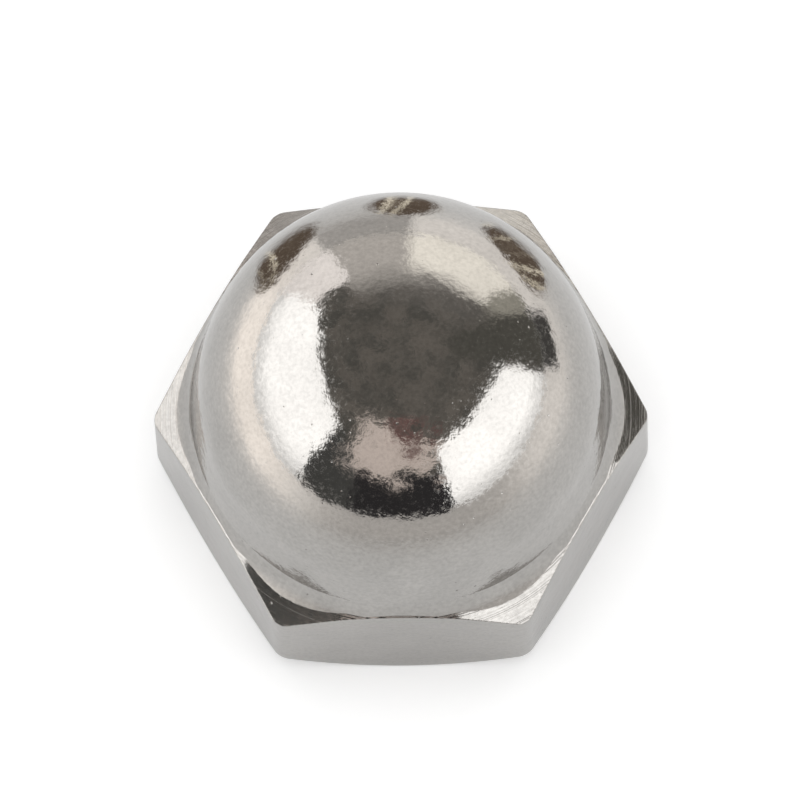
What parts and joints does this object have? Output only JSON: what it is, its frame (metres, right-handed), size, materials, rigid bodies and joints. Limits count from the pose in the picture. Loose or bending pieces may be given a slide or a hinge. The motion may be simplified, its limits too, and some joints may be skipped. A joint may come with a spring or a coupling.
{
  "type": "cap nut",
  "caption": "Hexagon cap nut with a domed crown that closes the threaded hole, one piece of bright-plated metal.",
  "frame": {"origin": "on the thread axis, at the flat bearing face that the nut is tightened against", "axes": "+Z along the thread axis, from the bearing face up to the top of the crown; +X through a corner of the hexagon; +Y through the middle of a flat"},
  "size_m": [0.0148, 0.013, 0.0131],
  "materials": {
    "nickel_plate": "bright nickel plate on steel, polished with a fine grain, slightly worn at the edges"
  },
  "bodies": {
    "root": {"cap_nut": "nickel_plate"}
  },
  "joints": []
}
